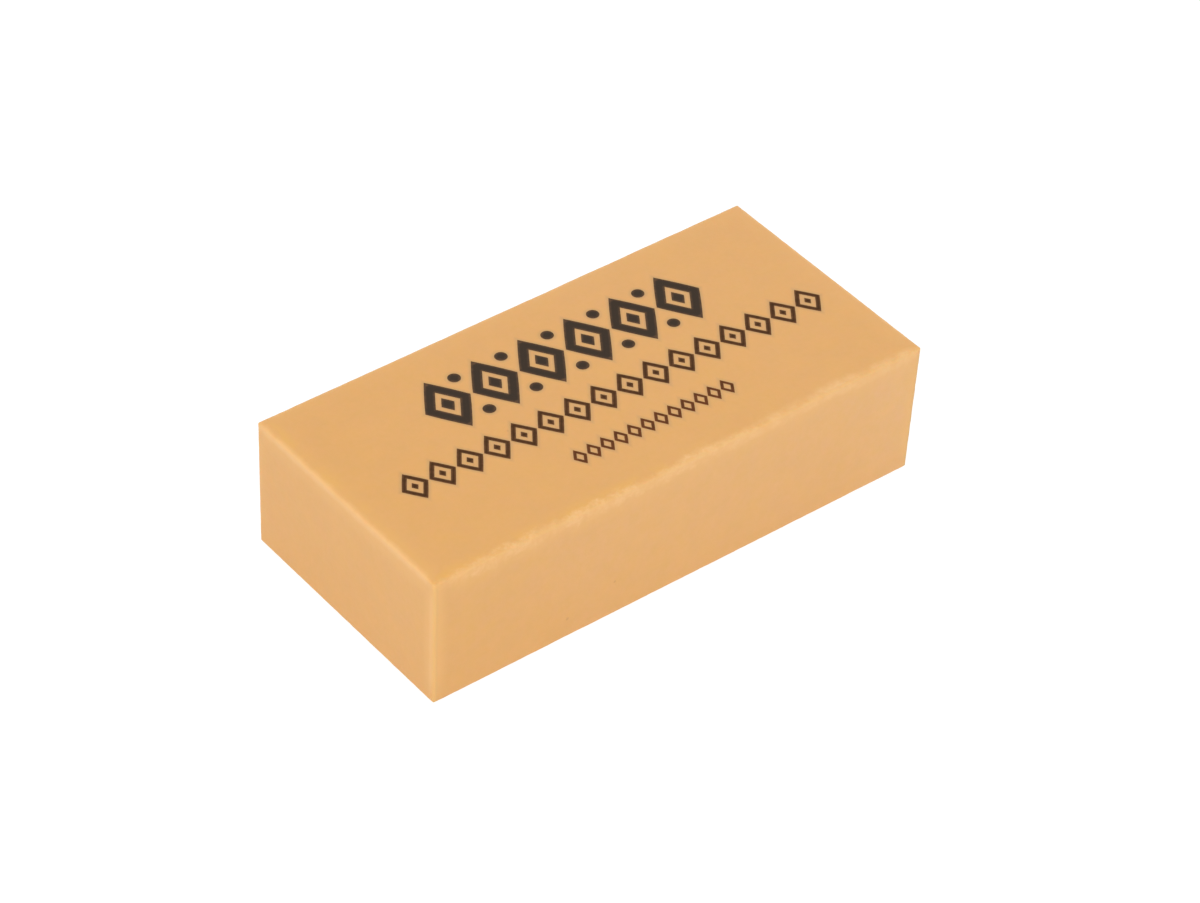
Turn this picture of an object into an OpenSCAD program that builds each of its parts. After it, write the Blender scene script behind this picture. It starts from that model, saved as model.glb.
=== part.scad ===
// Gum eraser: one solid block of soft, crumbling gum.
//
// The block was cut from a long bar. The bar's long edges are lightly rounded, its two
// ends were cut across with a blade, and the right-hand cut leans in a little towards
// the bottom. Handling has taken the sharpness off every edge and corner.
//
// Millimetres, +Z up, +X along the length. The origin is under the middle of the
// block, on the face that it rests on.

/* [Block] */
// Length of the block, over its rounded ends
block_length = 50.8; // [30:0.1:120]
// Width of the block, from one long side to the other
block_width = 24.6; // [14:0.1:60]
// Height of the block, from the face that it rests on to its top
block_height = 13; // [8:0.1:40]

/* [Edges] */
// Radius of the four long edges, as they left the bar's die
long_edge_radius = 0.4; // [0.2:0.1:3]
// Radius of the level edges across the two cut ends
end_edge_radius = 0.3; // [0.2:0.1:3]
// Radius of the four upright corners
corner_radius = 0.3; // [0.2:0.1:3]

/* [Cut end] */
// How far the right-hand end leans from upright, in degrees
end_lean = 2; // [0:0.5:6]

/* [Hidden] */

$fn = 48;
gum_tan = [0.90, 0.69, 0.44];

// The block is what four bars have in common: the outline of its long side, the outline of its
// end and, for each end, the outline of its top. Each bar runs on past the block by this much.
overrun = 5;
// A rounding stands this far proud of the two faces that it joins, so that it cuts both cleanly
clean_cut = 0.001;

// The leaning end is longest at its rounded top edge, this far short of where the faces would meet
rounded_off = end_edge_radius * ((1 + sin(end_lean)) / cos(end_lean) - 1);

// Where the faces of the long side's outline would meet, along X
square_end_x = -block_length / 2;
leaning_top_x = block_length / 2 + rounded_off;
leaning_bottom_x = leaning_top_x - block_height * tan(end_lean);

// Unit vector from one point to another
function heading(from, to) = (to - from) / norm(to - from);

// Unit vector out of an anticlockwise outline, square to the side that runs along a heading
function outward(along) = [along[1], -along[0]];

// What a rounding takes off the corner between two sides, one running in and one running out
module corner_offcut(corner, run_in, run_out, radius) {
    cosine = run_in * run_out;
    setback = radius * sqrt((1 - cosine) / (1 + cosine));
    centre = corner + run_out * setback - outward(run_out) * radius;
    reach = 2 * radius;
    difference() {
        polygon([
            centre,
            centre + outward(run_in) * reach,
            corner + (outward(run_in) + outward(run_out)) * reach,
            centre + outward(run_out) * reach
        ]);
        translate(centre) circle(radius + clean_cut);
    }
}

// Convex outline with every corner rounded alike; the corners run anticlockwise
module rounded_outline(corners, radius) {
    count = len(corners);
    runs = [for (i = [0:count - 1]) heading(corners[i], corners[(i + 1) % count])];
    difference() {
        polygon(corners);
        for (i = [0:count - 1])
            corner_offcut(corners[i], runs[(i + count - 1) % count], runs[i], radius);
    }
}

// Corners of a rectangle, anticlockwise from its low one
function rectangle(low, high) = [low, [high[0], low[1]], high, [low[0], high[1]]];

// Long side's outline, run across the block: rounds the level edges of both ends
module long_side_bar() {
    rotate([90, 0, 0])
        linear_extrude(block_width + 2 * overrun, center = true)
            rounded_outline([
                [square_end_x, 0],
                [leaning_bottom_x, 0],
                [leaning_top_x, block_height],
                [square_end_x, block_height]
            ], end_edge_radius);
}

// End's outline, run along the block: rounds the four long edges
module end_bar() {
    rotate([90, 0, 90])
        linear_extrude(block_length + 2 * overrun, center = true)
            rounded_outline(
                rectangle([-block_width / 2, 0], [block_width / 2, block_height]),
                long_edge_radius
            );
}

// Top's outline, run through the block from an end at X = 0 backwards: rounds that end's upright corners
module top_bar() {
    linear_extrude(4 * block_height, center = true)
        rounded_outline(
            rectangle([-block_length - overrun, -block_width / 2], [0, block_width / 2]),
            corner_radius
        );
}

module gum_block() {
    color(gum_tan)
        intersection() {
            long_side_bar();
            end_bar();
            translate([square_end_x, 0, 0])
                rotate([0, 0, 180])
                    top_bar();
            // Only the long side's outline cuts the leaning face, so this bar stops just clear of it
            translate([leaning_top_x, 0, block_height])
                rotate([0, end_lean, 0])
                    translate([clean_cut, 0, 0])
                        top_bar();
        }
}

gum_block();
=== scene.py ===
"""The looks of a small gum eraser: a soft tan block with rubbed edges and an ornament printed on its top.

The block is one piece of gum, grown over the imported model's box by a Geometry Nodes tree. The ornament is
three rows of lozenges, each row a thin film of ink laid on the block's top. Everything is in metres, in
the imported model's own frame.
"""

import logging
import math
from collections.abc import Callable, Iterable, Sequence
from dataclasses import dataclass, field
from enum import Enum
from functools import reduce

import bpy
from mathutils import Matrix, Vector


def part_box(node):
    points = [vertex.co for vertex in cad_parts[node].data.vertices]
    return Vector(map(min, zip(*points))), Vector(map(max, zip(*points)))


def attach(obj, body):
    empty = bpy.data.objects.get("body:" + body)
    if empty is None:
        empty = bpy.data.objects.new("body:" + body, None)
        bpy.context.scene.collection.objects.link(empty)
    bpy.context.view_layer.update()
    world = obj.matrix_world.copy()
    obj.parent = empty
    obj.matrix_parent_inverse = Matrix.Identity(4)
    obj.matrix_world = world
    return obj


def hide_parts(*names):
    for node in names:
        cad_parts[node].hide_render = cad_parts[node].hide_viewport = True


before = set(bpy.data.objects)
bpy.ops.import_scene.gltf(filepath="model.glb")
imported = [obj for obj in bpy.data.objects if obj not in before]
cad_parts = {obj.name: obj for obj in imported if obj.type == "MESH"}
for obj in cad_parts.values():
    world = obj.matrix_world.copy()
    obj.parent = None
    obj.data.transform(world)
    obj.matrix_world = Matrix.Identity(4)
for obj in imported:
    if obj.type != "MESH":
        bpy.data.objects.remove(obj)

LOG = logging.getLogger("gum_eraser")
MM = 0.001
BODY = "root"
CAD_NODE = "gum_block"
UP = (0.0, 0.0, 1.0)
DOWN = (0.0, 0.0, -1.0)
# How far the printed ink stands above the gum
INK_FILM = 0.012 * MM
# A length too small to count
NO_LENGTH = 0.001 * MM

Colour = tuple[float, float, float]
# Where a smooth change begins and where it ends, and then its values there if they aren't 0 and 1
Ramp = tuple[float, ...]


def mm(*lengths: float) -> tuple[float, ...]:
    """Lengths given in millimetres, in metres."""
    return tuple(length * MM for length in lengths)


class Slot(Enum):
    """The record's material slots."""

    GUM = "gum"
    INK = "ink"


class Mark(Enum):
    """Names of the values that the meshes carry for their materials; distances are in metres."""

    ACROSS_TOP_EDGE = "across_top_edge"
    ACROSS_CORNER = "across_corner"
    UPRIGHT = "upright_face"
    # How much painted light and sheen make the gum paler
    BLOOM = "bloom"
    INK_INSET = "ink_inset"


class TreeKind(Enum):
    """The kinds of node group that this file builds."""

    GEOMETRY = "GeometryNodeTree"
    SHADER = "ShaderNodeTree"


class Socket(Enum):
    """The kinds of value that a node group takes in or puts out."""

    NUMBER = "NodeSocketFloat"
    COUNT = "NodeSocketInt"
    VECTOR = "NodeSocketVector"
    GEOMETRY = "NodeSocketGeometry"
    MATERIAL = "NodeSocketMaterial"
    OBJECT = "NodeSocketObject"


# ---------------------------------------------------------------- node trees


def arithmetic(operation: str, swapped: bool = False) -> "Callable[[Value, Value | float], Value]":
    """Makes a method that does one step of arithmetic on a value and another number.

    Args:
        operation: The step that the new node does.
        swapped: Whether the other number comes first in it.

    Returns:
        The method.
    """
    def method(self: "Value", other: "Value | float") -> "Value":
        """One step of arithmetic on two numbers."""
        return self.tree.math(operation, *((other, self) if swapped else (self, other)))

    return method


@dataclass(frozen=True, eq=False)
class Value:
    """A number or vector that a node tree works out at each point; arithmetic on it adds nodes."""

    tree: "Tree"
    socket: bpy.types.NodeSocket

    __add__, __radd__ = arithmetic("ADD"), arithmetic("ADD", swapped=True)
    __sub__, __rsub__ = arithmetic("SUBTRACT"), arithmetic("SUBTRACT", swapped=True)
    __mul__, __rmul__ = arithmetic("MULTIPLY"), arithmetic("MULTIPLY", swapped=True)
    __truediv__, __rtruediv__ = arithmetic("DIVIDE"), arithmetic("DIVIDE", swapped=True)

    def __abs__(self) -> "Value":
        """The number without its sign."""
        return self.tree.math("ABSOLUTE", self)


Input = Value | float | int | str | Sequence[float] | bpy.types.ID | None
Inputs = dict[str | int, Input]


class Tree:
    """A node tree under construction, with short ways to add nodes and join them up."""

    def __init__(self, nodes: bpy.types.NodeTree) -> None:
        """Wraps a node tree that already exists."""
        self.nodes = nodes
        self.entry: bpy.types.Node | None = None

    @classmethod
    def group(cls, kind: TreeKind, name: str, takes: dict[str, Socket], gives: dict[str, Socket]) -> "Tree":
        """Makes a node group with named inputs and outputs.

        Args:
            kind: Whether the group is for geometry or for a shader.
            name: The group's name.
            takes: The kind of each named input.
            gives: The kind of each named output.

        Returns:
            The new group, with its input node in place.
        """
        nodes = bpy.data.node_groups.new(name, kind.value)
        for way, labels in (("INPUT", takes), ("OUTPUT", gives)):
            for label, socket in labels.items():
                nodes.interface.new_socket(label, in_out=way, socket_type=socket.value)
        tree = cls(nodes)
        tree.entry = nodes.nodes.new("NodeGroupInput")
        return tree

    @classmethod
    def effect(cls, name: str, takes: Iterable[str], gives: Iterable[str] = ("Mask",)) -> "Tree":
        """Makes a shader group that takes a place and some numbers, and puts out numbers."""
        inputs = {"Place": Socket.VECTOR} | dict.fromkeys(takes, Socket.NUMBER)
        return cls.group(TreeKind.SHADER, name, inputs, dict.fromkeys(gives, Socket.NUMBER))

    def taken(self, label: str) -> Value:
        """One of the group's own inputs, by name."""
        return Value(self, self.entry.outputs[label])

    def give(self, **outputs: Input) -> None:
        """Joins the group's outputs, by name."""
        exit_node = self.nodes.nodes.new("NodeGroupOutput")
        for label, value in outputs.items():
            self.join(value, exit_node.inputs[label])

    def join(self, value: Input, socket: bpy.types.NodeSocket) -> None:
        """Links a value to an input socket, or writes it there if it is a plain one.

        Args:
            value: The value.
            socket: The input socket.
        """
        if isinstance(value, Value):
            self.nodes.links.new(value.socket, socket)
        else:
            socket.default_value = value

    def add(self, kind: str, inputs: Inputs | None = None, **settings: object) -> bpy.types.Node:
        """Adds a node.

        Args:
            kind: The node's type.
            inputs: What goes into its sockets, by the socket's name or number.
            settings: The node's own properties.

        Returns:
            The new node.
        """
        node = self.nodes.nodes.new(kind)
        for key, setting in settings.items():
            setattr(node, key, setting)
        for key, value in (inputs or {}).items():
            self.join(value, node.inputs[key])
        return node

    def value(self, kind: str, inputs: Inputs | None = None, output: str | int = 0,
              **settings: object) -> Value:
        """Adds a node and returns one of its outputs, by name or number."""
        return Value(self, self.add(kind, inputs, **settings).outputs[output])

    def math(self, operation: str, a: Input, b: Input = 0.0, clamp: bool = False) -> Value:
        """One step of arithmetic on numbers."""
        return self.value("ShaderNodeMath", {0: a, 1: b}, operation=operation, use_clamp=clamp)

    def least(self, *values: Input) -> Value:
        """The least of some numbers."""
        return reduce(lambda a, b: self.math("MINIMUM", a, b), values)

    def most(self, *values: Input) -> Value:
        """The greatest of some numbers."""
        return reduce(lambda a, b: self.math("MAXIMUM", a, b), values)

    def root(self, value: Input) -> Value:
        """The square root of a number."""
        return self.math("SQRT", value)

    def vector(self, operation: str, a: Input, b: Input = (0.0, 0.0, 0.0)) -> Value:
        """One step of arithmetic on vectors."""
        return self.value("ShaderNodeVectorMath", {0: a, 1: b}, operation=operation)

    def scaled(self, vector: Input, factor: Input) -> Value:
        """A vector times a number."""
        return self.value("ShaderNodeVectorMath", {0: vector, "Scale": factor}, operation="SCALE")

    def split(self, vector: Input) -> tuple[Value, Value, Value]:
        """The three parts of a vector."""
        node = self.add("ShaderNodeSeparateXYZ", {0: vector})
        return tuple(Value(self, socket) for socket in node.outputs)

    def join_parts(self, x: Input, y: Input, z: Input) -> Value:
        """A vector from its three parts."""
        return self.value("ShaderNodeCombineXYZ", {0: x, 1: y, 2: z})

    def ramp(self, value: Input, low: Input, high: Input, start: Input = 0.0, end: Input = 1.0) -> Value:
        """Start below low, end above high, and a smooth change between them."""
        inputs = {"Value": value, "From Min": low, "From Max": high, "To Min": start, "To Max": end}
        return self.value("ShaderNodeMapRange", inputs, interpolation_type="SMOOTHSTEP")

    def blend(self, share: Input, a: Input, b: Input) -> Value:
        """A number between a and b, by a share from 0 to 1."""
        return self.value("ShaderNodeMix", {0: share, 2: a, 3: b}, output=0, data_type="FLOAT")

    def tint(self, share: Input, a: Input, b: Input) -> Value:
        """A colour between a and b, by a share from 0 to 1."""
        return self.value("ShaderNodeMix", {0: share, 6: a, 7: b}, output=2, data_type="RGBA")

    def noise(self, place: Input, grain: Input, detail: float = 2.0, roughness: float = 0.5) -> Value:
        """Cloudy noise from 0 to 1; grain is the size of one cloud, and detail the number of finer layers."""
        inputs = {"Vector": place, "Scale": 1.0 / grain, "Detail": detail, "Roughness": roughness}
        return self.value("ShaderNodeTexNoise", inputs, noise_dimensions="3D", normalize=True)

    def mark(self, mark: Mark) -> Value:
        """A value that the mesh carries, read in a shader tree."""
        return self.value("ShaderNodeAttribute", output="Fac", attribute_name=mark.value)

    def marked(self, shape: Value, mark: Mark, value: Value) -> Value:
        """A mesh made to carry one value more, in a geometry tree."""
        inputs = {"Geometry": shape, "Name": mark.value, "Value": value}
        return self.value("GeometryNodeStoreNamedAttribute", inputs, data_type="FLOAT", domain="POINT")

    def moved(self, shape: Value, place: Value) -> Value:
        """A mesh with its points put in new places."""
        return self.value("GeometryNodeSetPosition", {"Geometry": shape, "Position": place})

    def realized(self, shape: Value) -> Value:
        """A plain mesh of everything in the shape."""
        return self.value("GeometryNodeRealizeInstances", {"Geometry": shape})

    def give_shape(self, shape: Value, material: Value) -> None:
        """Puts out the shape, with its material on it."""
        inputs = {"Geometry": shape, "Material": material}
        self.give(Geometry=self.value("GeometryNodeSetMaterial", inputs))

    def swayed(self, colour: Value, share: Value, sway: Colour) -> Value:
        """A colour that drifts with a share: a sway of 0.1 makes a channel 5% less at 0 and 5% more at 1."""
        parts = (1.0 + (share - 0.5) * amount for amount in sway)
        return self.vector("MULTIPLY", colour, self.join_parts(*parts))

    def placed(self, group: bpy.types.NodeTree, inputs: Inputs) -> bpy.types.Node:
        """Places a shader node group in this tree.

        Args:
            group: The group.
            inputs: What goes into its named inputs.

        Returns:
            The group's node.
        """
        node = self.nodes.nodes.new("ShaderNodeGroup")
        node.node_tree = group
        for key, value in inputs.items():
            self.join(value, node.inputs[key])
        return node

    def drawn(self, group: bpy.types.NodeTree, inputs: Inputs) -> Value:
        """Places a shader node group in this tree and returns its first output."""
        return Value(self, self.placed(group, inputs).outputs[0])

    def bumped(self, height: Value) -> Value:
        """The normal of a surface with a height in metres."""
        return self.value("ShaderNodeBump", {"Strength": 1.0, "Distance": 1.0, "Height": height})


def rgba(colour: Colour) -> tuple[float, float, float, float]:
    """A colour with full opacity."""
    return (*colour, 1.0)


def grey(level: float) -> tuple[float, float, float, float]:
    """A plain grey, from 0 for black to 1 for white."""
    return rgba((level, level, level))


def labelled(sizes: object, names: Iterable[str]) -> dict[str, float]:
    """Some fields of a dataclass, by the names that they have in a node group: chip_size is Chip Size."""
    return {name.replace("_", " ").title(): getattr(sizes, name) for name in names}


def grown(name: str, tree: Tree, inputs: Inputs) -> bpy.types.Object:
    """Runs a Geometry Nodes tree on an empty mesh and keeps the result as a plain mesh.

    Args:
        name: The piece's name.
        tree: The geometry tree.
        inputs: A value for each of the tree's named inputs.

    Returns:
        The new piece, at the origin, with no modifier left on it.
    """
    piece = bpy.data.objects.new(name, bpy.data.meshes.new(name))
    bpy.context.scene.collection.objects.link(piece)
    modifier = piece.modifiers.new(name, "NODES")
    modifier.node_group = tree.nodes
    for item in tree.nodes.interface.items_tree:
        if item.in_out == "INPUT" and item.name in inputs:
            modifier[item.identifier] = inputs[item.name]
    depsgraph = bpy.context.evaluated_depsgraph_get()
    depsgraph.update()
    mesh = bpy.data.meshes.new_from_object(
        piece.evaluated_get(depsgraph), preserve_all_data_layers=True, depsgraph=depsgraph)
    piece.modifiers.remove(modifier)
    blank = piece.data
    piece.data = mesh
    bpy.data.meshes.remove(blank)
    mesh.name = name
    return piece


# ---------------------------------------------------------------- effects that the finishes share


def cloud_group() -> bpy.types.NodeTree:
    """Builds the soft cloudy mottling of poured gum.

    Returns:
        A shader group that puts out a mask from 0 to 1.
    """
    tree = Tree.effect("gum_clouds", ("Cloud Size", "Contrast"))
    cloud = tree.noise(tree.taken("Place"), tree.taken("Cloud Size"), detail=3.0, roughness=0.55)
    spread = (cloud - 0.5) * tree.taken("Contrast") + 0.5
    tree.give(Mask=tree.least(tree.most(spread, 0.0), 1.0))
    return tree.nodes


def speck_group() -> bpy.types.NodeTree:
    """Builds small specks scattered at random, such as crumbs pressed into the gum.

    Returns:
        A shader group that puts out a mask, 1 in a speck and 0 around it.
    """
    smallest = 0.4
    tree = Tree.effect("gum_specks", ("Spacing", "Share", "Size"))
    inputs = {"Vector": tree.taken("Place"), "Scale": 1.0 / tree.taken("Spacing")}
    cell = tree.add("ShaderNodeTexVoronoi", inputs, feature="F1")
    distance = Value(tree, cell.outputs["Distance"])
    chance, _, bulk = tree.split(Value(tree, cell.outputs["Color"]))
    kept = tree.math("LESS_THAN", chance, tree.taken("Share"))
    radius = tree.taken("Size") * (smallest + (1.0 - smallest) * bulk)
    tree.give(Mask=kept * tree.ramp(distance, radius * 0.5, radius, 1.0, 0.0))
    return tree.nodes


def grain_group() -> bpy.types.NodeTree:
    """Builds the fine uneven skin of cut gum as a height in metres.

    Returns:
        A shader group that puts out the height for a Bump node.
    """
    fine_share, broad_share, breadth = 0.6, 1.6, 6.0
    tree = Tree.effect("gum_grain", ("Grain Size", "Depth"), ("Height",))
    size = tree.taken("Grain Size")
    fine = tree.noise(tree.taken("Place"), size, detail=3.0, roughness=0.6)
    broad = tree.noise(tree.taken("Place"), size * breadth, detail=1.0)
    tree.give(Height=(fine * fine_share + broad * broad_share) * tree.taken("Depth"))
    return tree.nodes


@dataclass(frozen=True)
class EdgeWearAndHighlight:
    """The worn top edges and upright corners of the block, with painted highlights on them.

    A pale line runs just below each top edge and fades out down the face: partly rubbing, partly a painted
    highlight along the edge. On the near long side it is broad and ragged. Just inside the edge, the top is
    yellower in patches. Each upright corner has a fine line on its end face, partly rubbing and partly
    painted highlight, in a broad faint band, and a ridge tinted less red so that the highlight rendered
    there looks whiter, a painted highlight tint; towards the base the corner lines fade, a painted contact
    shade. Where a name comes twice, the one with near_ is for the near long side, and mostly says how the
    marks change along it.
    """

    # Across a corner, from the end face to the long side
    turn: Ramp = mm(-0.3, 0.3)
    # The noises: their sizes, and how far the first two move the pale edge line
    ragged_size: float = 1.1 * MM
    drift_size: float = 9.0 * MM
    scuff_size: float = 2.3 * MM
    scuff_shift: tuple[float, ...] = mm(31.0, 17.0, 0.0)
    flake_size: float = 0.35 * MM
    fray: float = 0.5 * MM
    near_fray: Ramp = mm(-10.0, 16.0, 1.9, 1.0)
    drift: float = 0.3 * MM
    near_drift: float = 1.0 * MM
    # Down the face: the pale edge line, partly painted highlight, and the soft band around it
    start: float = -0.60 * MM
    near_start: Ramp = mm(-14.0, 14.0, -0.74, -1.12)
    rise: float = 0.70 * MM
    near_rise: Ramp = mm(-14.0, 14.0, 0.70, 1.05)
    end: float = 1.00 * MM
    near_end: float = 1.35 * MM
    fall: float = 0.75 * MM
    band_start: Ramp = mm(-0.30, 0.20)
    band_end: Ramp = (*mm(0.40, 2.60), 1.0, 0.0)
    # Along the line: what is left of it near a corner, and how patchy and flaky it is
    along: Ramp = mm(-12.0, 12.0)
    corner_reach: float = 0.3 * MM
    dull_reach: float = 1.4 * MM
    near_dull_reach: float = 3.0 * MM
    dull_loss: float = 1.2 * MM
    left_at_far_corner: float = 0.70
    left_at_near_corner: float = 0.20
    left_along: float = 0.40
    patches: Ramp = (0.30, 0.55, 0.64, 0.94)
    near_patches: Ramp = (0.36, 0.60, 0.35, 1.0)
    flakes: Ramp = (0.38, 0.62, -0.40, 0.25)
    flakes_along: Ramp = (*mm(-8.0, 12.0), 1.0, 0.35)
    near_fading: Ramp = (*mm(-24.0, -8.0), 0.84, 1.0)
    # The yellow inside the edge
    yellow_on_end: Ramp = (*mm(-10.0, 4.0), 0.35, 0.75)
    near_yellow: Ramp = (*mm(-8.0, 10.0), 0.70, 0.20)
    yellow_start: Ramp = mm(-1.7, -0.5)
    yellow_end: Ramp = (*mm(-0.35, 0.0), 1.0, 0.0)
    yellow_wander: float = 0.4
    yellow_patches: Ramp = (0.38, 0.62, 0.10, 1.0)
    # The upright corners: how far each line lies from the corner and how wide it is, and where it fades
    fine_place: float = -0.36 * MM
    fine_width: Ramp = (*mm(0.10, 0.40), 1.0, 0.0)
    broad_place: float = -0.05 * MM
    broad_width: Ramp = (*mm(0.50, 1.70), 1.0, 0.0)
    ridge_place: float = 0.10 * MM
    ridge_width: Ramp = (*mm(0.15, 0.45), 1.0, 0.0)
    below_top: Ramp = mm(0.7, 2.4)
    below_ridge: Ramp = mm(0.10, 0.80)
    # Towards the base the corner lines fade: painted contact shade
    above_base: Ramp = (*mm(0.0, 3.5), 0.25, 1.0)
    on_far_corners: float = 0.30
    # The top's soft rim
    rim: Ramp = mm(-2.40, -0.50)
    # How strong each part is
    band_share: float = 0.60
    fine_share: float = 0.42
    broad_share: float = 0.60
    rim_share: float = 0.17
    ridge_share: float = 0.43
    crest_share: float = 0.20

    def build(self) -> bpy.types.NodeTree:
        """Builds the worn edges and their painted highlights.

        Returns:
            A shader group that puts out how worn and highlit the gum is, how softened around that, how tinted
            its ridges are to whiten their highlight, and how yellow inside its top edges, each from 0 to 1.
        """
        tree = Tree.effect("gum_edge_wear", ("Across Top Edge", "Across Corner", "Upright"),
                           ("Rubbed", "Softened", "Bleached", "Yellow"))
        place, upright = tree.taken("Place"), tree.taken("Upright")
        over, around = tree.taken("Across Top Edge"), tree.taken("Across Corner")
        x, y, z = tree.split(place)
        near = tree.math("LESS_THAN", y, 0.0)
        long_side = tree.ramp(around, *self.turn)
        near_side = long_side * near
        far_side = long_side - near_side

        def either(elsewhere: Input, on_near_side: Input) -> Value:
            """One value on the near long side and another elsewhere."""
            return tree.blend(near_side, elsewhere, on_near_side)

        ragged = tree.noise(place, self.ragged_size, detail=4.0, roughness=0.62)
        drift = tree.noise(place, self.drift_size, detail=1.0)
        moved = tree.vector("ADD", place, self.scuff_shift)
        scuffed = tree.noise(moved, self.scuff_size, detail=3.0, roughness=0.6)
        wander = (ragged - 0.5) * either(self.fray, tree.ramp(x, *self.near_fray))
        wander = wander + (drift - 0.5) * either(self.drift, self.near_drift)
        # The pale line below each top edge: partly rubbing, partly a painted highlight along the edge
        line_place = over + wander
        start = either(self.start, tree.ramp(x, *self.near_start))
        rise = either(self.rise, tree.ramp(x, *self.near_rise))
        end = either(self.end, self.near_end)
        line = tree.ramp(line_place, start, start + rise)
        line = line * tree.ramp(line_place, end - self.fall, end, 1.0, 0.0)
        band = tree.ramp(line_place, *self.band_start) * tree.ramp(line_place, *self.band_end)

        along = tree.ramp(x, *self.along) * near_side
        dull = either(self.dull_reach, self.near_dull_reach) - along * self.dull_loss
        left = tree.blend(near, self.left_at_far_corner, self.left_at_near_corner) + along * self.left_along
        from_corner = tree.ramp(abs(around), self.corner_reach, dull, left, 1.0)
        patches = either(tree.ramp(scuffed, *self.patches), tree.ramp(scuffed, *self.near_patches))
        flakes = tree.ramp(tree.noise(place, self.flake_size), *self.flakes)
        patches = patches * either(1.0, 1.0 + flakes * tree.ramp(x, *self.flakes_along))
        fading = either(1.0, tree.ramp(x, *self.near_fading))

        on_end = tree.ramp(y, *self.yellow_on_end) * tree.math("LESS_THAN", x, 0.0)
        yellow = either(on_end, tree.ramp(x, *self.near_yellow)) * (1.0 - far_side)
        inside = tree.ramp(over + wander * self.yellow_wander, *self.yellow_start)
        inside = inside * tree.ramp(over, *self.yellow_end)

        # The fine corner line is partly rubbing and partly a painted highlight; the ridge and crest tint the
        # rendered highlight less red, a painted highlight tint
        fine = tree.ramp(abs(around - self.fine_place), *self.fine_width) * tree.ramp(over, *self.below_top)
        broad = tree.ramp(abs(around - self.broad_place), *self.broad_width)
        ridge = tree.ramp(abs(around - self.ridge_place), *self.ridge_width)
        ridge = ridge * tree.ramp(over, *self.below_ridge)
        crest = tree.ramp(abs(over), *self.ridge_width)
        corner = upright * tree.blend(near, self.on_far_corners, 1.0)
        # Fades the corner lines towards the base: painted contact shade
        clear_of_base_shade = tree.ramp(z, *self.above_base)
        rim = tree.ramp(over, *self.rim) * (1.0 - near_side) * (1.0 - upright)
        tree.give(
            Rubbed=tree.most(line * patches * fading * from_corner, fine * corner * clear_of_base_shade * self.fine_share),
            Softened=tree.most(band * from_corner * self.band_share,
                               broad * corner * clear_of_base_shade * self.broad_share, rim * self.rim_share),
            Bleached=tree.most(ridge * corner * self.ridge_share, crest * near_side * self.crest_share),
            Yellow=inside * yellow * tree.ramp(scuffed, *self.yellow_patches))
        return tree.nodes


def stain_group() -> bpy.types.NodeTree:
    """Builds the faint stain that a printed row leaves in the gum around its ink.

    Returns:
        A shader group that takes the place from the row's centre. It puts out a mask, 1 beside the ink
        and 0 from the stain's reach outwards.
    """
    tree = Tree.effect("ink_stain", (
        "Pitch", "Lozenges", "Length", "Height", "Stroke", "Heart", "Dot", "Dot Rise", "Reach"))
    taken = tree.taken
    x, y, _ = tree.split(taken("Place"))
    last = taken("Lozenges") - 1.0

    def from_nearest(count: Value) -> Value:
        """How far along the row the nearest mark lies.

        Args:
            count: One less than the number of marks, which are a pitch apart.

        Returns:
            The distance, with its sign.
        """
        spot = tree.math("ROUND", x / taken("Pitch") + 0.5 * count)
        spot = tree.most(tree.least(spot, count), 0.0)
        return x - (spot - 0.5 * count) * taken("Pitch")

    def absent(size: Value) -> Value:
        """Puts a mark of no size out of reach."""
        return tree.math("LESS_THAN", size, NO_LENGTH)

    long_half, high_half = 0.5 * taken("Length"), 0.5 * taken("Height")
    breadth = long_half * high_half / tree.root(long_half * long_half + high_half * high_half)
    level = abs(from_nearest(last)) / long_half + abs(y) / high_half
    gap = (level - 1.0) * breadth
    outline = tree.most(gap, 0.0 - taken("Stroke") - gap)
    heart = (level - taken("Heart")) * breadth + absent(taken("Heart"))
    along, up = from_nearest(last - 1.0), abs(y) - 0.5 * taken("Dot Rise")
    dot = tree.root(along * along + up * up) - 0.5 * taken("Dot") + absent(taken("Dot"))
    tree.give(Mask=tree.ramp(tree.least(outline, heart, dot), 0.0, taken("Reach"), 1.0, 0.0))
    return tree.nodes


@dataclass(frozen=True)
class Specks:
    """Scattered specks: a share of the cells, a spacing apart, holds one, with its radius given in cells."""

    spacing: float
    share: float
    size: float
    strength: float


@dataclass(frozen=True)
class Grain:
    """A finely uneven skin: the size and depth of its grain."""

    size: float
    depth: float


@dataclass(frozen=True)
class Effects:
    """The shader groups, each built once, and ways to place them in a material."""

    clouds: bpy.types.NodeTree
    specks: bpy.types.NodeTree
    grain: bpy.types.NodeTree
    wear_and_highlight: bpy.types.NodeTree
    stain: bpy.types.NodeTree

    @classmethod
    def build(cls) -> "Effects":
        """Builds every shader group."""
        return cls(cloud_group(), speck_group(), grain_group(), EdgeWearAndHighlight().build(), stain_group())

    def clouded(self, tree: Tree, place: Value, size: float, contrast: float) -> Value:
        """Soft clouds of one size, from 0 to 1."""
        return tree.drawn(self.clouds, {"Place": place, "Cloud Size": size, "Contrast": contrast})

    def specked(self, tree: Tree, place: Value, specks: Specks) -> Value:
        """Scattered specks, 1 in a speck and 0 around it."""
        inputs = {"Place": place} | labelled(specks, ("spacing", "share", "size"))
        return tree.drawn(self.specks, inputs)

    def grained(self, tree: Tree, place: Value, grain: Grain) -> Value:
        """The height of a grained skin, in metres."""
        return tree.drawn(self.grain, {"Place": place, "Grain Size": grain.size, "Depth": grain.depth})


def blank_material(name: str) -> tuple[bpy.types.Material, Tree, bpy.types.Node]:
    """Makes an empty node material.

    Args:
        name: The material's name.

    Returns:
        The material, its tree and its output node.
    """
    material = bpy.data.materials.new(name)
    material.use_nodes = True
    material.node_tree.nodes.clear()
    tree = Tree(material.node_tree)
    return material, tree, tree.add("ShaderNodeOutputMaterial")


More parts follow.
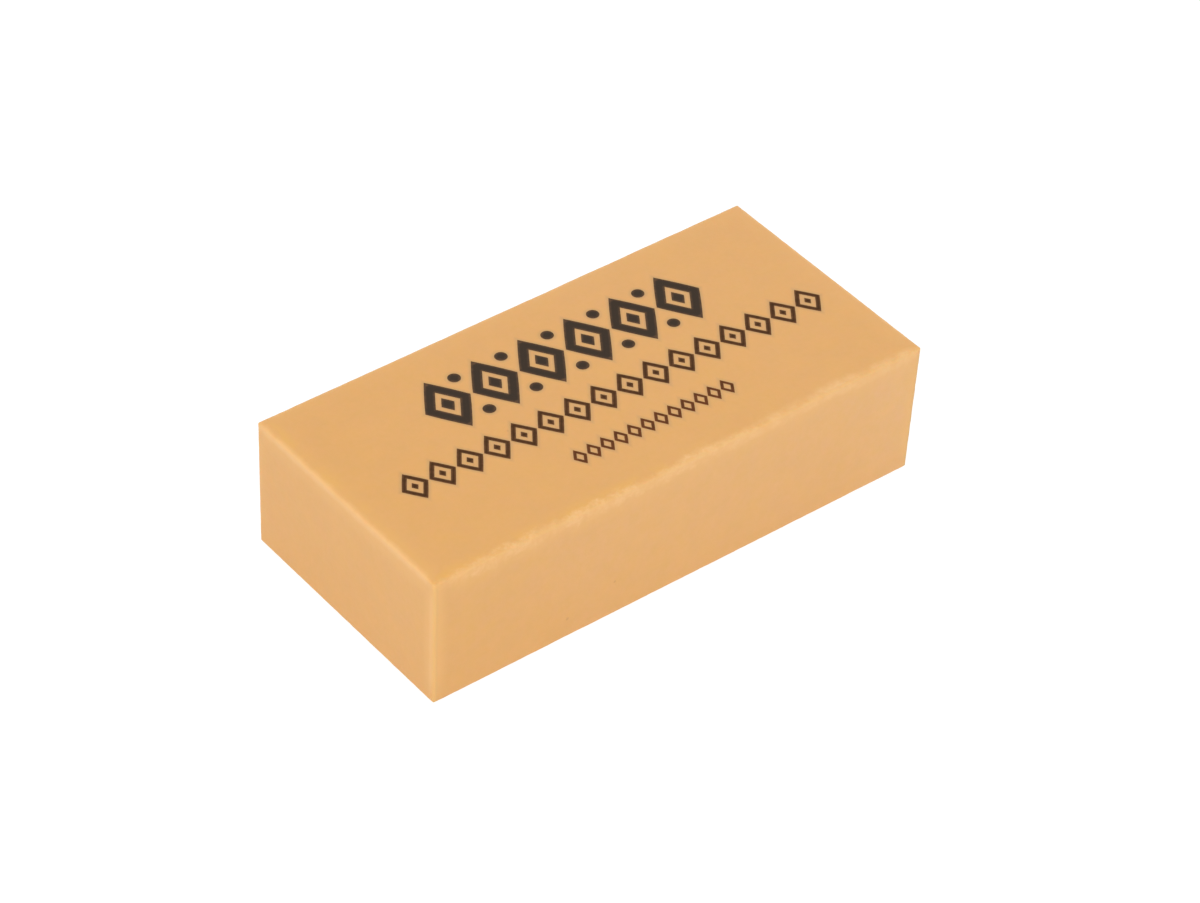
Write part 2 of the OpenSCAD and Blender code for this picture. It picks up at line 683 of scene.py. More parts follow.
@dataclass(frozen=True)
class GumFinish:
    """Waxy tan gum: cloudy and faintly translucent, paler on its upright faces under painted light and sheen,
    and paler along its worn edges, which are partly painted highlight.
    """

    name: str = "gum"
    # The gum's own colour on the top and on the upright faces, and what each grows to under painted light and
    # sheen
    top_deep: Colour = (0.742, 0.383, 0.110)
    top_lit: Colour = (0.741, 0.383, 0.119)
    side_deep: Colour = (0.730, 0.379, 0.115)
    side_lit: Colour = (0.785, 0.445, 0.177)
    # Paler along the worn edge lines, which also paint the highlight that the edges catch
    rubbed: Colour = (0.835, 0.490, 0.200)
    softened: Colour = (0.815, 0.456, 0.155)
    # Less red on the rounded ridges, so that the highlight rendered there looks whiter: a painted highlight
    # tint
    bleached: Colour = (0.700, 0.430, 0.157)
    yellow: Colour = (0.785, 0.416, 0.088)
    speck: Colour = (0.560, 0.270, 0.090)
    specks: Specks = Specks(spacing=2.4 * MM, share=0.12, size=0.09, strength=0.45)
    stain: Colour = (0.200, 0.160, 0.130)
    stain_strength: float = 0.19
    stain_reach: float = 0.42 * MM
    # What is left of the stain where there is no haze, and what full haze adds
    stain_haze: tuple[float, float] = (0.75, 0.5)
    # A level face above this height is the top, and one below it is the underside
    stain_floor: float = 10.0 * MM
    paleness: Colour = (0.050, 0.044, 0.430)
    ruddiness: Colour = (0.034, 0.030, -0.050)
    cloud_size: float = 8.0 * MM
    haze_size: float = 1.8 * MM
    fleck_size: float = 0.5 * MM
    # The clouds', the haze's and the flecks' parts in the paleness
    pale_shares: tuple[float, float, float] = (0.2, 0.4, 0.4)
    cloud_contrast: float = 2.2
    fleck_contrast: float = 2.0
    ruddy_shift: tuple[float, ...] = mm(43.0, 29.0, 11.0)
    grain: Grain = Grain(size=0.25 * MM, depth=0.016 * MM)
    roughness: tuple[float, float] = (0.46, 0.58)
    subsurface: float = 0.22
    subsurface_radius: Colour = (1.0, 0.5, 0.25)
    subsurface_scale: float = 0.7 * MM
    index: float = 1.5

    STAINED_BY = ("pitch", "lozenges", "length", "height", "stroke", "heart", "dot", "dot_rise")

    def base(self, tree: Tree, effects: Effects, place: Value) -> tuple[Value, Value]:
        """Mixes the gum's colour and painted light and sheen, without the worn edges and their painted
        highlights.

        Args:
            tree: The material's tree.
            effects: The shader groups.
            place: The place on the block.

        Returns:
            The colour, and the fine haze in it, from 0 to 1.
        """
        clouds = effects.clouded(tree, place, self.cloud_size, self.cloud_contrast)
        haze = effects.clouded(tree, place, self.haze_size, self.cloud_contrast)
        flecks = effects.clouded(tree, place, self.fleck_size, self.fleck_contrast)
        # Paler towards the top of the upright faces and the leaning end: painted light and painted sheen
        bloom = tree.mark(Mark.BLOOM)
        top = tree.tint(bloom, rgba(self.top_deep), rgba(self.top_lit))
        side = tree.tint(bloom, rgba(self.side_deep), rgba(self.side_lit))
        colour = tree.tint(tree.mark(Mark.UPRIGHT), top, side)
        of_clouds, of_haze, of_flecks = self.pale_shares
        pale = clouds * of_clouds + haze * of_haze + flecks * of_flecks
        colour = tree.swayed(colour, pale, self.paleness)
        moved = tree.vector("ADD", place, self.ruddy_shift)
        blush = effects.clouded(tree, moved, self.haze_size, self.cloud_contrast)
        return tree.swayed(colour, blush, self.ruddiness), haze

    def stained(self, tree: Tree, effects: Effects, place: Value, rows: "Sequence[OrnamentRow]") -> Value:
        """Works out how stained the gum is beside each printed row, on the top alone.

        Args:
            tree: The material's tree.
            effects: The shader groups.
            place: The place on the block.
            rows: The printed rows.

        Returns:
            The stain, from 0 to 1.
        """
        stain: Input = 0.0
        for row in rows:
            here = {"Place": tree.vector("SUBTRACT", place, (*row.centre, 0.0)), "Reach": self.stain_reach}
            stain = tree.most(stain, tree.drawn(effects.stain, here | labelled(row, self.STAINED_BY)))
        _, _, z = tree.split(place)
        on_top = tree.math("GREATER_THAN", z, self.stain_floor) * (1.0 - tree.mark(Mark.UPRIGHT))
        return stain * on_top

    def build(self, effects: Effects, rows: "Sequence[OrnamentRow]") -> bpy.types.Material:
        """Builds the material.

        Args:
            effects: The shader groups.
            rows: The printed rows, which stain the gum around them.

        Returns:
            The gum material.
        """
        material, tree, output = blank_material(self.name)
        place = tree.value("ShaderNodeTexCoord", output="Object")
        colour, haze = self.base(tree, effects, place)
        stain_at_least, stain_by_haze = self.stain_haze
        stain = self.stained(tree, effects, place, rows) * (stain_at_least + stain_by_haze * haze)
        colour = tree.tint(stain * self.stain_strength, colour, rgba(self.stain))
        # The worn edges, partly painted highlight, and the ridges' painted highlight tint
        wear_and_highlight = tree.placed(effects.wear_and_highlight, {
            "Place": place, "Across Top Edge": tree.mark(Mark.ACROSS_TOP_EDGE),
            "Across Corner": tree.mark(Mark.ACROSS_CORNER), "Upright": tree.mark(Mark.UPRIGHT)})
        for share, tone in labelled(self, ("yellow", "softened", "rubbed", "bleached")).items():
            colour = tree.tint(Value(tree, wear_and_highlight.outputs[share]), colour, rgba(tone))
        specks = effects.specked(tree, place, self.specks)
        colour = tree.tint(specks * self.specks.strength, colour, rgba(self.speck))
        height = effects.grained(tree, place, self.grain) - specks * self.grain.depth
        inputs = {
            "Base Color": colour, "Roughness": tree.blend(haze, *self.roughness),
            "Normal": tree.bumped(height), "IOR": self.index, "Subsurface Weight": self.subsurface,
            "Subsurface Radius": self.subsurface_radius, "Subsurface Scale": self.subsurface_scale,
        }
        tree.join(tree.value("ShaderNodeBsdfPrincipled", inputs), output.inputs["Surface"])
        return material


@dataclass(frozen=True)
class InkFinish:
    """Flat dark printing ink, a little thin at its edges, where the gum shows through."""

    name: str
    dark: Colour
    thin: Colour
    bleed: float
    edge_strength: float = 0.85
    # How thin the edge is at the least, from 0 to 1; blots make it thinner
    edge_least: float = 0.3
    blot_size: float = 0.5 * MM
    blot_contrast: float = 2.4
    blot_strength: float = 0.06
    pinholes: Specks = Specks(spacing=0.5 * MM, share=0.08, size=0.16, strength=0.4)
    grain: Grain = Grain(size=0.25 * MM, depth=0.010 * MM)
    roughness: tuple[float, float] = (0.62, 0.74)
    index: float = 1.12

    def build(self, effects: Effects) -> bpy.types.Material:
        """Builds the material.

        Args:
            effects: The shader groups.

        Returns:
            The ink material.
        """
        material, tree, output = blank_material(self.name)
        place = tree.value("ShaderNodeTexCoord", output="Object")
        blot = effects.clouded(tree, place, self.blot_size, self.blot_contrast)
        thinned = tree.ramp(tree.mark(Mark.INK_INSET), 0.0, self.bleed, 1.0, 0.0)
        thinned = thinned * (self.edge_least + (1.0 - self.edge_least) * blot)
        share = thinned * self.edge_strength + blot * self.blot_strength
        colour = tree.tint(share, rgba(self.dark), rgba(self.thin))
        pinholes = effects.specked(tree, place, self.pinholes)
        colour = tree.tint(pinholes * self.pinholes.strength, colour, rgba(self.thin))
        inputs = {
            "Base Color": colour, "Roughness": tree.blend(blot, *self.roughness),
            "Normal": tree.bumped(effects.grained(tree, place, self.grain)), "IOR": self.index,
        }
        tree.join(tree.value("ShaderNodeBsdfPrincipled", inputs), output.inputs["Surface"])
        return material


# The broader a stroke, the thicker and the more neutral its ink
BOLD_INK = InkFinish("ink_bold", (0.0466, 0.0332, 0.0234), (0.155, 0.085, 0.045), 0.26 * MM)
FINE_INK = InkFinish("ink_fine", (0.055, 0.0238, 0.0080), (0.198, 0.089, 0.040), 0.24 * MM)
SMALL_INK = InkFinish("ink_small", (0.075, 0.030, 0.0105), (0.225, 0.072, 0.026), 0.24 * MM)


# ---------------------------------------------------------------- the block


@dataclass(frozen=True)
class PaintedLight:
    """Painted light and sheen that pale the gum: the gain up, along or across a face, or along two ways at
    once.
    """

    up: float = 0.28
    long_side: float = 0.07
    side_along: float = 0.33
    side_along_up: float = 0.24
    # The gain at the tip of the leaning end, and where along the block it comes in
    tip: float = 0.18
    tip_reach: Ramp = (0.8, 1.0)
    top_along: float = 0.22
    top_along_far: float = 0.40
    top_far: float = 0.38

    def on_side(self, tree: Tree, along: Value, height: Value, long_side: Value) -> Value:
        """The painted light and sheen on the upright faces: most at their top and towards the leaning end."""
        bloom = self.long_side + along * (self.side_along + self.side_along_up * height)
        return self.up * height + long_side * (bloom + self.tip * tree.ramp(along, *self.tip_reach))

    def on_top(self, along: Value, far: Value) -> Value:
        """The painted light and sheen on the top: most at its far edge, towards the leaning end."""
        return along * (self.top_along + self.top_along_far * far) + self.top_far * far


@dataclass
class GumBlock:
    """The one piece of gum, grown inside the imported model's box."""

    low: Vector
    high: Vector
    end_radius: float = 0.28 * MM
    side_radius: float = 0.34 * MM
    top_radius: float = 0.34 * MM
    corner_softness: float = 0.25
    end_lean: float = math.radians(2.0)
    counts: tuple[int, int, int] = (220, 108, 60)
    crowding: float = 0.80
    swell_size: float = 11.0 * MM
    swell_depth: float = 0.020 * MM
    ripple_size: float = 1.3 * MM
    ripple_depth: float = 0.006 * MM
    chip_size: float = 0.9 * MM
    chip_depth: float = 0.11 * MM
    chip_reach: float = 0.75 * MM
    chip_noise: Ramp = (0.38, 0.72)
    # How deep the other edges are chipped, as a share of the near long edge
    chip_share: float = 0.25
    # Across an edge, from one face's look to the next one's
    turn: Ramp = mm(-0.2, 0.2)
    # The painted light and sheen that the faces carry for the gum's material
    bloom: PaintedLight = PaintedLight()

    SIZES = ("end_radius", "side_radius", "top_radius", "corner_softness", "crowding", "swell_size",
             "swell_depth", "ripple_size", "ripple_depth", "chip_size", "chip_depth", "chip_reach")

    def tree(self) -> Tree:
        """Builds the tree that grows a rounded, worn block from a fine grid.

        Returns:
            The geometry tree.
        """
        numbers = ("Length", "Width", "Height", "End Slope", *labelled(self, self.SIZES))
        takes = dict.fromkeys(numbers, Socket.NUMBER)
        takes |= dict.fromkeys(("Count X", "Count Y", "Count Z"), Socket.COUNT) | {"Gum": Socket.MATERIAL}
        tree = Tree.group(TreeKind.GEOMETRY, "gum_block_form", takes, {"Geometry": Socket.GEOMETRY})
        taken = tree.taken
        shape = tree.value("GeometryNodeMeshCube", {
            "Size": (2.0, 2.0, 2.0),
            "Vertices X": taken("Count X"), "Vertices Y": taken("Count Y"), "Vertices Z": taken("Count Z")})
        half = tree.scaled(tree.join_parts(taken("Length"), taken("Width"), taken("Height")), 0.5)
        radii = tree.join_parts(taken("End Radius"), taken("Side Radius"), taken("Top Radius"))
        spot = tree.vector("MULTIPLY", self.crowded(tree, tree.value("GeometryNodeInputPosition")), half)
        core = tree.vector("SUBTRACT", half, radii)
        inner = tree.vector("MAXIMUM", tree.vector("MINIMUM", spot, core), tree.scaled(core, -1.0))
        offset = tree.vector("DIVIDE", tree.vector("SUBTRACT", spot, inner), radii)
        skin = tree.vector("ADD", inner, tree.vector("MULTIPLY", self.rounded(tree, offset), radii))
        pushed = tree.scaled(tree.vector("NORMALIZE", offset), 0.0 - self.dented(tree, skin, spot, half))
        placed = tree.vector("ADD", self.leaned(tree, skin, core), pushed)
        lifted = tree.vector("ADD", placed, tree.join_parts(0.0, 0.0, 0.5 * taken("Height")))
        for mark, value in self.marks(tree, spot, half).items():
            shape = tree.marked(shape, mark, value)
        shape = tree.value("GeometryNodeSetShadeSmooth", {"Geometry": tree.moved(shape, lifted)})
        tree.give_shape(tree.realized(shape), taken("Gum"))
        return tree

    def crowded(self, tree: Tree, place: Value) -> Value:
        """Moves a grid point, from -1 to 1, towards the edges, where the rounding needs the grid's lines."""
        wave = tree.vector("SINE", tree.scaled(place, math.pi))
        return tree.vector("ADD", place, tree.scaled(wave, tree.taken("Crowding") / math.pi))

    def rounded(self, tree: Tree, offset: Value) -> Value:
        """Draws a point in to the rounded edge; a corner is three rounded edges crossing, a bit softened.

        Args:
            tree: The tree under construction.
            offset: How far the point lies outside the flat core, in radii on each axis.

        Returns:
            The offset of the rounded skin, in radii.
        """
        x, y, z = tree.split(tree.vector("MULTIPLY", offset, offset))
        whole = x + y + z
        crossed, ball = tree.root(whole - tree.least(x, y, z)), tree.root(whole)
        return tree.scaled(offset, 1.0 / tree.blend(tree.taken("Corner Softness"), crossed, ball))

    def gaps(self, tree: Tree, spot: Value, half: Value) -> tuple[Value, Value, Value]:
        """How far in a point of the plain box lies from the ends, the long sides, and the top or base."""
        return tree.split(tree.vector("SUBTRACT", half, tree.vector("ABSOLUTE", spot)))

    def marks(self, tree: Tree, spot: Value, half: Value) -> dict[Mark, Value]:
        """Works out what the gum's material needs to know about each point.

        Args:
            tree: The tree under construction.
            spot: The point's place on the plain box.
            half: Half of the box's size.

        Returns:
            The distance across the nearest top edge, from the top down the face, and the distance across
            the nearest corner, from the end face to the long side. Then whether the face is upright, and
            how much painted light and sheen make it paler.
        """
        end_gap, side_gap, level_gap = self.gaps(tree, spot, half)
        along, far, height = (0.5 + 0.5 * part for part in tree.split(tree.vector("DIVIDE", spot, half)))
        gap = tree.least(end_gap, side_gap)
        upright = tree.ramp(gap - level_gap, *self.turn, 1.0, 0.0)
        long_side = tree.ramp(end_gap - side_gap, *self.turn)
        on_side = self.bloom.on_side(tree, along, height, long_side)
        _, _, z = tree.split(spot)
        _, _, half_z = tree.split(half)
        return {
            Mark.ACROSS_TOP_EDGE: half_z - z - gap, Mark.ACROSS_CORNER: end_gap - side_gap,
            Mark.UPRIGHT: upright, Mark.BLOOM: tree.blend(upright, self.bloom.on_top(along, far), on_side)}

    def leaned(self, tree: Tree, skin: Value, core: Value) -> Value:
        """Leans the +X end inwards towards the bottom, and leaves the rest of the block square.

        Args:
            tree: The tree under construction.
            skin: The point on the rounded skin.
            core: Half of the flat core's size.

        Returns:
            The leaned point.
        """
        x, y, z = tree.split(skin)
        core_x, _, core_z = tree.split(core)
        share = tree.math("MULTIPLY", x / core_x, 1.0, clamp=True)
        return tree.join_parts(x - share * tree.taken("End Slope") * (core_z - z), y, z)

    def dented(self, tree: Tree, skin: Value, spot: Value, half: Value) -> Value:
        """Works out how far each point is pushed in: broad swells, a fine ripple, and chips along the edges.

        Args:
            tree: The tree under construction.
            skin: The point on the rounded skin.
            spot: The point's place on the plain box.
            half: Half of the box's size.

        Returns:
            The depth, in metres. The near long edge of the top is chipped most.
        """
        taken = tree.taken
        end_gap, side_gap, level_gap = self.gaps(tree, spot, half)
        greater = tree.most(end_gap, side_gap)
        from_edge = tree.most(tree.least(end_gap, side_gap), tree.least(greater, level_gap))
        _, y, z = tree.split(tree.vector("ADD", half, tree.vector("MULTIPLY", spot, (0.0, 1.0, -1.0))))
        swell = tree.noise(skin, taken("Swell Size"), detail=1.0) * taken("Swell Depth")
        ripple = tree.noise(skin, taken("Ripple Size")) * taken("Ripple Depth")
        ragged = tree.noise(skin, taken("Chip Size"), detail=4.0, roughness=0.65)
        by_edge = tree.ramp(from_edge, 0.0, 0.5 * taken("Chip Reach"), self.chip_share, 0.0)
        by_near_edge = tree.ramp(tree.most(y, z), 0.0, taken("Chip Reach"), 1.0, 0.0)
        chips = tree.ramp(ragged, *self.chip_noise) * tree.most(by_edge, by_near_edge)
        return swell + ripple + chips * taken("Chip Depth")

    def build(self, gum: bpy.types.Material) -> bpy.types.Object:
        """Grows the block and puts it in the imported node's place.

        Args:
            gum: The block's material.

        Returns:
            The finished piece.
        """
        box = zip(("Length", "Width", "Height"), self.high - self.low)
        counts = zip(("Count X", "Count Y", "Count Z"), self.counts)
        inputs = {**dict(box), **dict(counts), **labelled(self, self.SIZES)}
        piece = grown("gum", self.tree(), inputs | {"End Slope": math.tan(self.end_lean), "Gum": gum})
        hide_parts(CAD_NODE)
        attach(piece, BODY)
        return piece


# ---------------------------------------------------------------- the printed ornament


@dataclass(frozen=True)
class OrnamentRow:
    """One printed row: open lozenges in a line, with hearts inside them and dots between them.

    A heart is a share of its lozenge. The dots come in pairs, one above the other.
    """

    name: str
    ink: InkFinish
    centre: tuple[float, ...]
    pitch: float
    lozenges: int
    length: float
    height: float
    stroke: float
    heart: float = 0.0
    dot: float = 0.0
    dot_rise: float = 0.0


BOLD_ROW = OrnamentRow(
    "ornament_bold", BOLD_INK, centre=mm(0.75, 4.95), pitch=4.85 * MM, lozenges=6, length=4.60 * MM,
    height=6.8 * MM, stroke=0.90 * MM, heart=0.28, dot=1.15 * MM, dot_rise=4.9 * MM)
FINE_ROW = OrnamentRow(
    "ornament_fine", FINE_INK, centre=mm(1.0, -1.8), pitch=2.75 * MM, lozenges=16, length=2.62 * MM,
    height=3.6 * MM, stroke=0.40 * MM, heart=0.25)
SMALL_ROW = OrnamentRow(
    "ornament_small", SMALL_INK, centre=mm(1.1, -6.7), pitch=1.40 * MM, lozenges=12, length=1.30 * MM,
    height=2.0 * MM, stroke=0.27 * MM)


@dataclass
class PrintedOrnament:
    """Three rows of dark ink on the block's top, each a thin film that follows the gum."""

    top: float
    film: float = INK_FILM
    sunk: float = 0.020 * MM
    # From how far above the gum the film is laid down
    drop: float = 10.0 * MM
    steps: int = 9
    softness: float = 0.07
    rows: tuple[OrnamentRow, ...] = (BOLD_ROW, FINE_ROW, SMALL_ROW)

    ROW_SIZES = ("pitch", "length", "height", "stroke", "heart", "dot", "dot_rise")
    FILM_SIZES = ("film", "sunk", "softness")

    def tree(self) -> Tree:
        """Builds the tree that prints one row on the block.

        Returns:
            The geometry tree.
        """
        numbers = ("Above", *labelled(self, self.FILM_SIZES), *labelled(self.rows[0], self.ROW_SIZES))
        takes = {"Block": Socket.OBJECT, "Ink": Socket.MATERIAL, "Centre": Socket.VECTOR}
        takes |= dict.fromkeys(("Steps", "Lozenges", "Hearts", "Dot Pairs"), Socket.COUNT)
        takes |= dict.fromkeys(numbers, Socket.NUMBER)
        tree = Tree.group(TreeKind.GEOMETRY, "printed_row_form", takes, {"Geometry": Socket.GEOMETRY})
        taken = tree.taken
        length, height, dot, share = taken("Length"), taken("Height"), taken("Dot"), taken("Heart")
        place = self.spaced(tree, taken("Lozenges"), 0.0)
        lozenge = self.blot(tree, length, height, taken("Softness"), taken("Stroke"))
        heart = self.blot(tree, length * share, height * share, taken("Softness"))
        dots = self.blot(tree, dot, dot, 1.0)
        between = self.spaced(tree, taken("Dot Pairs"), 0.5 * taken("Dot Rise"))
        between_low = self.spaced(tree, taken("Dot Pairs"), -0.5 * taken("Dot Rise"))
        both = tree.add("GeometryNodeJoinGeometry")
        for count, at, blot in (
                (taken("Dot Pairs"), between_low, dots), (taken("Dot Pairs"), between, dots),
                (taken("Hearts"), place, heart), (taken("Lozenges"), place, lozenge)):
            points = tree.value("GeometryNodePoints", {"Count": count, "Position": at})
            copies = tree.value("GeometryNodeInstanceOnPoints", {"Points": points, "Instance": blot})
            tree.join(copies, both.inputs[0])
        shape = tree.realized(Value(tree, both.outputs[0]))
        tree.give_shape(tree.moved(shape, self.laid(tree)), taken("Ink"))
        return tree

    def spaced(self, tree: Tree, count: Value, rise: Input) -> Value:
        """The places of a number of points in a level line, a pitch apart and centred."""
        along = (tree.value("GeometryNodeInputIndex") - 0.5 * (count - 1.0)) * tree.taken("Pitch")
        return tree.join_parts(along, rise, 0.0)

    def blot(self, tree: Tree, length: Value, height: Value, softness: Input,
             stroke: Value | None = None) -> Value:
        """Shapes one closed blot of ink from a square grid turned on its corner.

        Args:
            tree: The tree under construction.
            length: The blot's length along the row.
            height: Its height across the row.
            softness: 0 for a sharp lozenge, 1 for a round dot.
            stroke: The width of its outline if it is open, or nothing if it is solid.

        Returns:
            The blot's mesh: its underside at height 0 and its top at 1, to be laid later.
        """
        steps = tree.taken("Steps")
        shape = tree.value("GeometryNodeMeshGrid", {
            "Size X": 2.0, "Size Y": 2.0, "Vertices X": steps, "Vertices Y": steps})
        breadth = 0.5 * length * height / tree.root(length * length + height * height)
        hole: Input = 0.5
        if stroke is not None:
            hole = 1.0 - stroke / breadth
            across, up, _ = tree.split(tree.vector("ABSOLUTE", tree.value("GeometryNodeInputPosition")))
            inputs = {"Geometry": shape, "Selection": tree.math("LESS_THAN", tree.most(across, up), 0.5)}
            shape = tree.value("GeometryNodeDeleteGeometry", inputs, domain="FACE")
        u, v, _ = tree.split(tree.value("GeometryNodeInputPosition"))
        u, v = self.opened(tree, u, hole), self.opened(tree, v, hole)
        reach = tree.most(abs(u), abs(v))
        rim = 1.0 - reach if stroke is None else tree.least(1.0 - reach, reach - hole)
        shape = tree.marked(shape, Mark.INK_INSET, rim * breadth)
        bulge_u = tree.blend(softness, 1.0, tree.root(1.0 - v * v * 0.5))
        bulge_v = tree.blend(softness, 1.0, tree.root(1.0 - u * u * 0.5))
        # Twice what u and v add up to at the blot's tip
        corner = tree.blend(softness, 1.0, math.sqrt(0.5)) * 4.0
        u, v = u * bulge_u, v * bulge_v
        shape = tree.moved(shape, tree.join_parts((u + v) * length / corner, (v - u) * height / corner, 0.0))
        upper = tree.add("GeometryNodeExtrudeMesh", {
            "Mesh": shape, "Offset": UP, "Offset Scale": 1.0, "Individual": False}, mode="FACES")
        both = tree.add("GeometryNodeJoinGeometry")
        tree.join(tree.value("GeometryNodeFlipFaces", {"Mesh": shape}), both.inputs[0])
        tree.join(Value(tree, upper.outputs["Mesh"]), both.inputs[0])
        inputs = {"Geometry": Value(tree, both.outputs[0]), "Distance": NO_LENGTH}
        return tree.value("GeometryNodeMergeByDistance", inputs)

    def opened(self, tree: Tree, u: Value, hole: Input) -> Value:
        """Moves the grid line halfway out to the edge of the hole, and stretches the rest to suit.

        Args:
            tree: The tree under construction.
            u: The point's place on one of the grid's axes, from -1 to 1.
            hole: Where the hole's edge lies.

        Returns:
            The moved place.
        """
        out = abs(u)
        inner = out * 2.0 * hole
        outer = hole + (out - 0.5) * 2.0 * (1.0 - hole)
        return tree.math("SIGN", u) * tree.blend(tree.math("GREATER_THAN", out, 0.5), inner, outer)

    def laid(self, tree: Tree) -> Value:
        """Works out where each point of the film lies: its top just above the gum, its underside just in it.

        Args:
            tree: The tree under construction.

        Returns:
            The point's place.
        """
        taken = tree.taken
        x, y, side = tree.split(tree.value("GeometryNodeInputPosition"))
        centre_x, centre_y, _ = tree.split(taken("Centre"))
        over = tree.join_parts(x + centre_x, y + centre_y, taken("Above"))
        target = tree.value("GeometryNodeObjectInfo", {"Object": taken("Block")}, output="Geometry")
        inputs = {"Target Geometry": target, "Source Position": over, "Ray Direction": DOWN}
        hit = tree.value("GeometryNodeRaycast", inputs, output="Hit Position")
        rise = tree.blend(tree.math("GREATER_THAN", side, 0.5), 0.0 - taken("Sunk"), taken("Film"))
        return tree.vector("ADD", hit, tree.join_parts(0.0, 0.0, rise))

    def build(self, block: bpy.types.Object, effects: Effects) -> list[bpy.types.Object]:
        """Prints every row.

        Args:
            block: The piece that the ink lies on.
            effects: The shader groups.

        Returns:
            The printed rows, one piece each.
        """
        tree = self.tree()
        film = labelled(self, self.FILM_SIZES) | {
            "Block": block, "Above": self.top + self.drop, "Steps": self.steps}
        pieces = []
        for row in self.rows:
            piece = grown(row.name, tree, film | labelled(row, self.ROW_SIZES) | {
                "Ink": row.ink.build(effects), "Centre": (*row.centre, 0.0), "Lozenges": row.lozenges,
                "Hearts": row.lozenges if row.heart else 0,
                "Dot Pairs": row.lozenges - 1 if row.dot else 0})
            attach(piece, BODY)
            pieces.append(piece)
        return pieces


# ---------------------------------------------------------------- the studio


@dataclass(frozen=True)
class Lamp:
    """One white softbox, aimed at the object."""

    name: str
    towards: Vector
    distance: float
    size: float
    power: float

    def build(self, target: Vector) -> bpy.types.Object:
        """Builds the softbox.

        Args:
            target: The point that it is aimed at.

        Returns:
            The lamp.
        """
        data = bpy.data.lights.new(self.name, "AREA")
        data.shape = "DISK"
        data.size = self.size
        data.energy = self.power
        lamp = bpy.data.objects.new(self.name, data)
        back = self.towards.normalized()
        turn = back.to_track_quat("Z", "Y").to_matrix().to_4x4()
        lamp.matrix_world = Matrix.Translation(target + back * self.distance) @ turn
        bpy.context.scene.collection.objects.link(lamp)
        return lamp


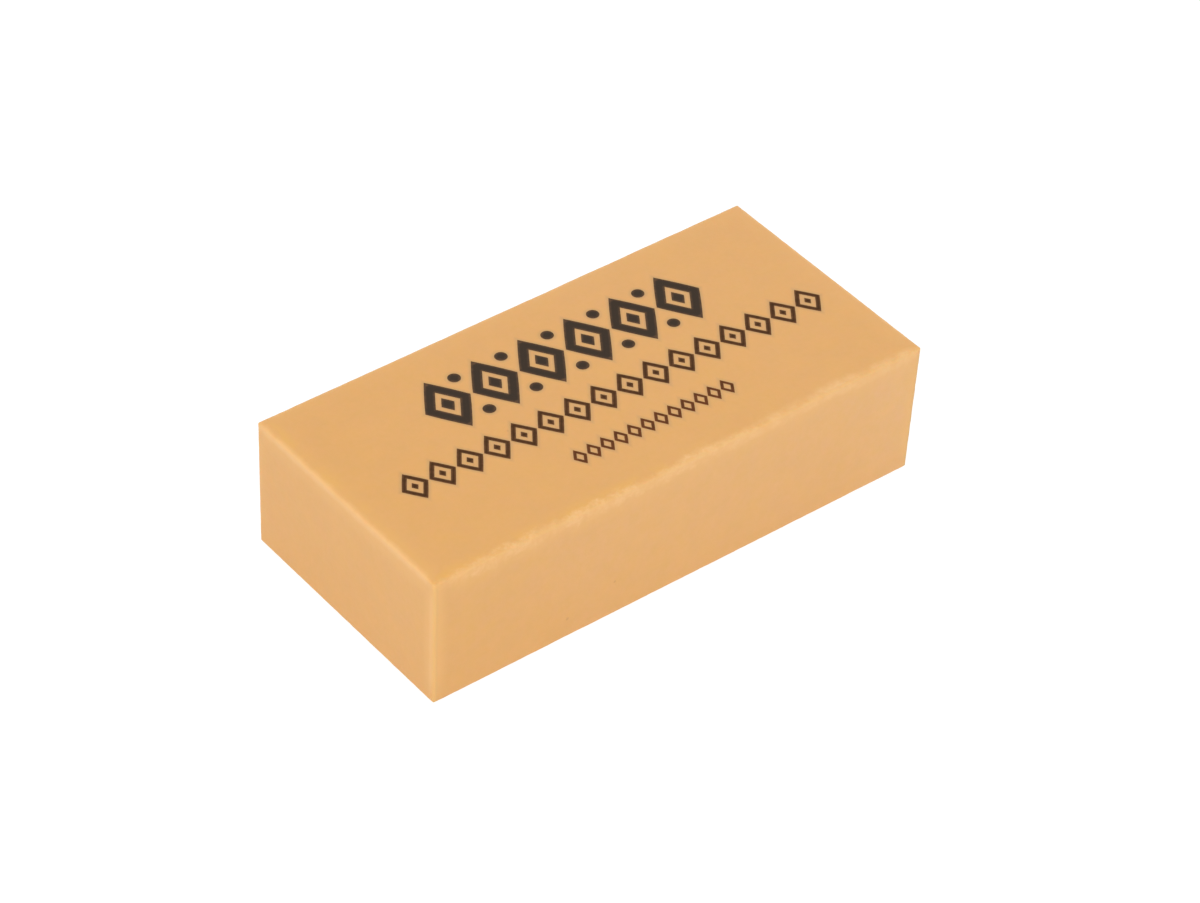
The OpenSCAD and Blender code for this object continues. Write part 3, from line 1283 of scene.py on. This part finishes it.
@dataclass(frozen=True)
class Studio:
    """A plain white floor and surroundings, soft light and the camera."""

    centre: Vector
    floor_height: float
    floor_reach: float = 3.0
    floor_bounce: float = 0.45
    floor_light: float = 0.42
    floor_glow: float = 0.80
    floor_shade: float = 0.32
    surround: float = 0.66
    lens: float = 129.48
    sensor: float = 36.0
    clip: tuple[float, float] = (10.0 * MM, 50.0)
    azimuth: float = math.radians(-39.391)
    elevation: float = math.radians(40.371)
    roll: float = math.radians(2.365)
    distance: float = 361.33 * MM
    aim_shift: Vector = field(default_factory=lambda: Vector((-0.06, -1.22, 0.0)) * MM)
    lamps: tuple[Lamp, ...] = (
        Lamp("key_softbox", Vector((-0.552, -0.528, 0.645)), distance=0.9, size=0.45, power=3.9),
        Lamp("back_softbox", Vector((0.70, 0.60, 0.45)), distance=1.0, size=0.60, power=1.0),
    )

    def seen_directly(self, tree: Tree) -> Value:
        """1 for rays that show the background, in sight, mirrored or through glass, and 0 for light."""
        path, rays = tree.add("ShaderNodeLightPath"), ("Camera", "Glossy", "Transmission")
        return tree.most(*(Value(tree, path.outputs[f"Is {ray} Ray"]) for ray in rays))

    def floor_material(self) -> bpy.types.Material:
        """Builds the floor's material: white in sight, with a faint shadow kept, and duller to the light.

        Returns:
            The floor material.
        """
        material, tree, output = blank_material("floor")

        def surface(glow: float, white: float) -> Value:
            """A matt surface that also glows."""
            glowing = tree.value("ShaderNodeEmission", {"Strength": glow})
            matt = tree.value("ShaderNodeBsdfDiffuse", {"Color": grey(white)})
            return tree.value("ShaderNodeAddShader", {0: glowing, 1: matt})

        to_light = surface(self.floor_light, self.floor_bounce)
        in_sight = surface(self.floor_glow, self.floor_shade)
        both = tree.value("ShaderNodeMixShader", {0: self.seen_directly(tree), 1: to_light, 2: in_sight})
        tree.join(both, output.inputs["Surface"])
        return material

    def build_floor(self) -> bpy.types.Object:
        """Builds the plain floor.

        Returns:
            The floor, which is stage and no part of the object.
        """
        mesh = bpy.data.meshes.new("floor")
        ways = ((-1, -1), (1, -1), (1, 1), (-1, 1))
        corners = [(x * self.floor_reach, y * self.floor_reach, self.floor_height) for x, y in ways]
        mesh.from_pydata(corners, [], [(0, 1, 2, 3)])
        mesh.materials.append(self.floor_material())
        floor = bpy.data.objects.new("floor", mesh)
        bpy.context.scene.collection.objects.link(floor)
        return floor

    def build_world(self) -> bpy.types.World:
        """Builds the white surroundings.

        Returns:
            The world.
        """
        world = bpy.data.worlds.new("white_surroundings")
        world.use_nodes = True
        world.node_tree.nodes.clear()
        tree = Tree(world.node_tree)
        light = tree.value("ShaderNodeBackground", {"Color": grey(1.0), "Strength": self.surround})
        sight = tree.value("ShaderNodeBackground", {"Color": grey(1.0), "Strength": 1.0})
        both = tree.value("ShaderNodeMixShader", {0: self.seen_directly(tree), 1: light, 2: sight})
        tree.join(both, tree.add("ShaderNodeOutputWorld").inputs["Surface"])
        bpy.context.scene.world = world
        return world

    def build_camera(self) -> bpy.types.Object:
        """Builds the camera, which looks down on the near left corner.

        Returns:
            The camera.
        """
        back = Vector((math.sin(self.azimuth) * math.cos(self.elevation),
                       -math.cos(self.azimuth) * math.cos(self.elevation),
                       math.sin(self.elevation)))
        level = Vector(UP).cross(back).normalized()
        right = math.cos(self.roll) * level + math.sin(self.roll) * back.cross(level)
        data = bpy.data.cameras.new("camera")
        data.sensor_fit = "HORIZONTAL"
        data.sensor_width = self.sensor
        data.lens = self.lens
        data.clip_start, data.clip_end = self.clip
        camera = bpy.data.objects.new("camera", data)
        turn = Matrix((right, back.cross(right), back)).transposed().to_4x4()
        stand = self.centre + self.aim_shift + back * self.distance
        camera.matrix_world = Matrix.Translation(stand) @ turn
        bpy.context.scene.collection.objects.link(camera)
        bpy.context.scene.camera = camera
        return camera

    def build(self) -> None:
        """Builds the camera, floor, surroundings and lamps, and sets plain colour handling."""
        self.build_camera()
        self.build_floor()
        self.build_world()
        for lamp in self.lamps:
            lamp.build(self.centre)
        bpy.context.scene.view_settings.view_transform = "Standard"


# ---------------------------------------------------------------- building


def report(piece: bpy.types.Object) -> None:
    """Logs a piece's name and how many triangles it has."""
    triangles = sum(len(face.vertices) - 2 for face in piece.data.polygons)
    LOG.info("%s: %d triangles", piece.name, triangles)


def main() -> None:
    """Builds the studio, the block and its print."""
    logging.basicConfig(level=logging.INFO, format="%(name)s: %(message)s")
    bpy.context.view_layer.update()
    low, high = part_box(CAD_NODE)
    Studio((low + high) / 2, low.z).build()
    effects = Effects.build()
    gum_top = Vector((high.x, high.y, high.z - INK_FILM))
    ornament = PrintedOrnament(gum_top.z)
    block = GumBlock(low, gum_top).build(GumFinish().build(effects, ornament.rows))
    report(block)
    for piece in ornament.build(block, effects):
        report(piece)


if __name__ == "__main__":
    main()
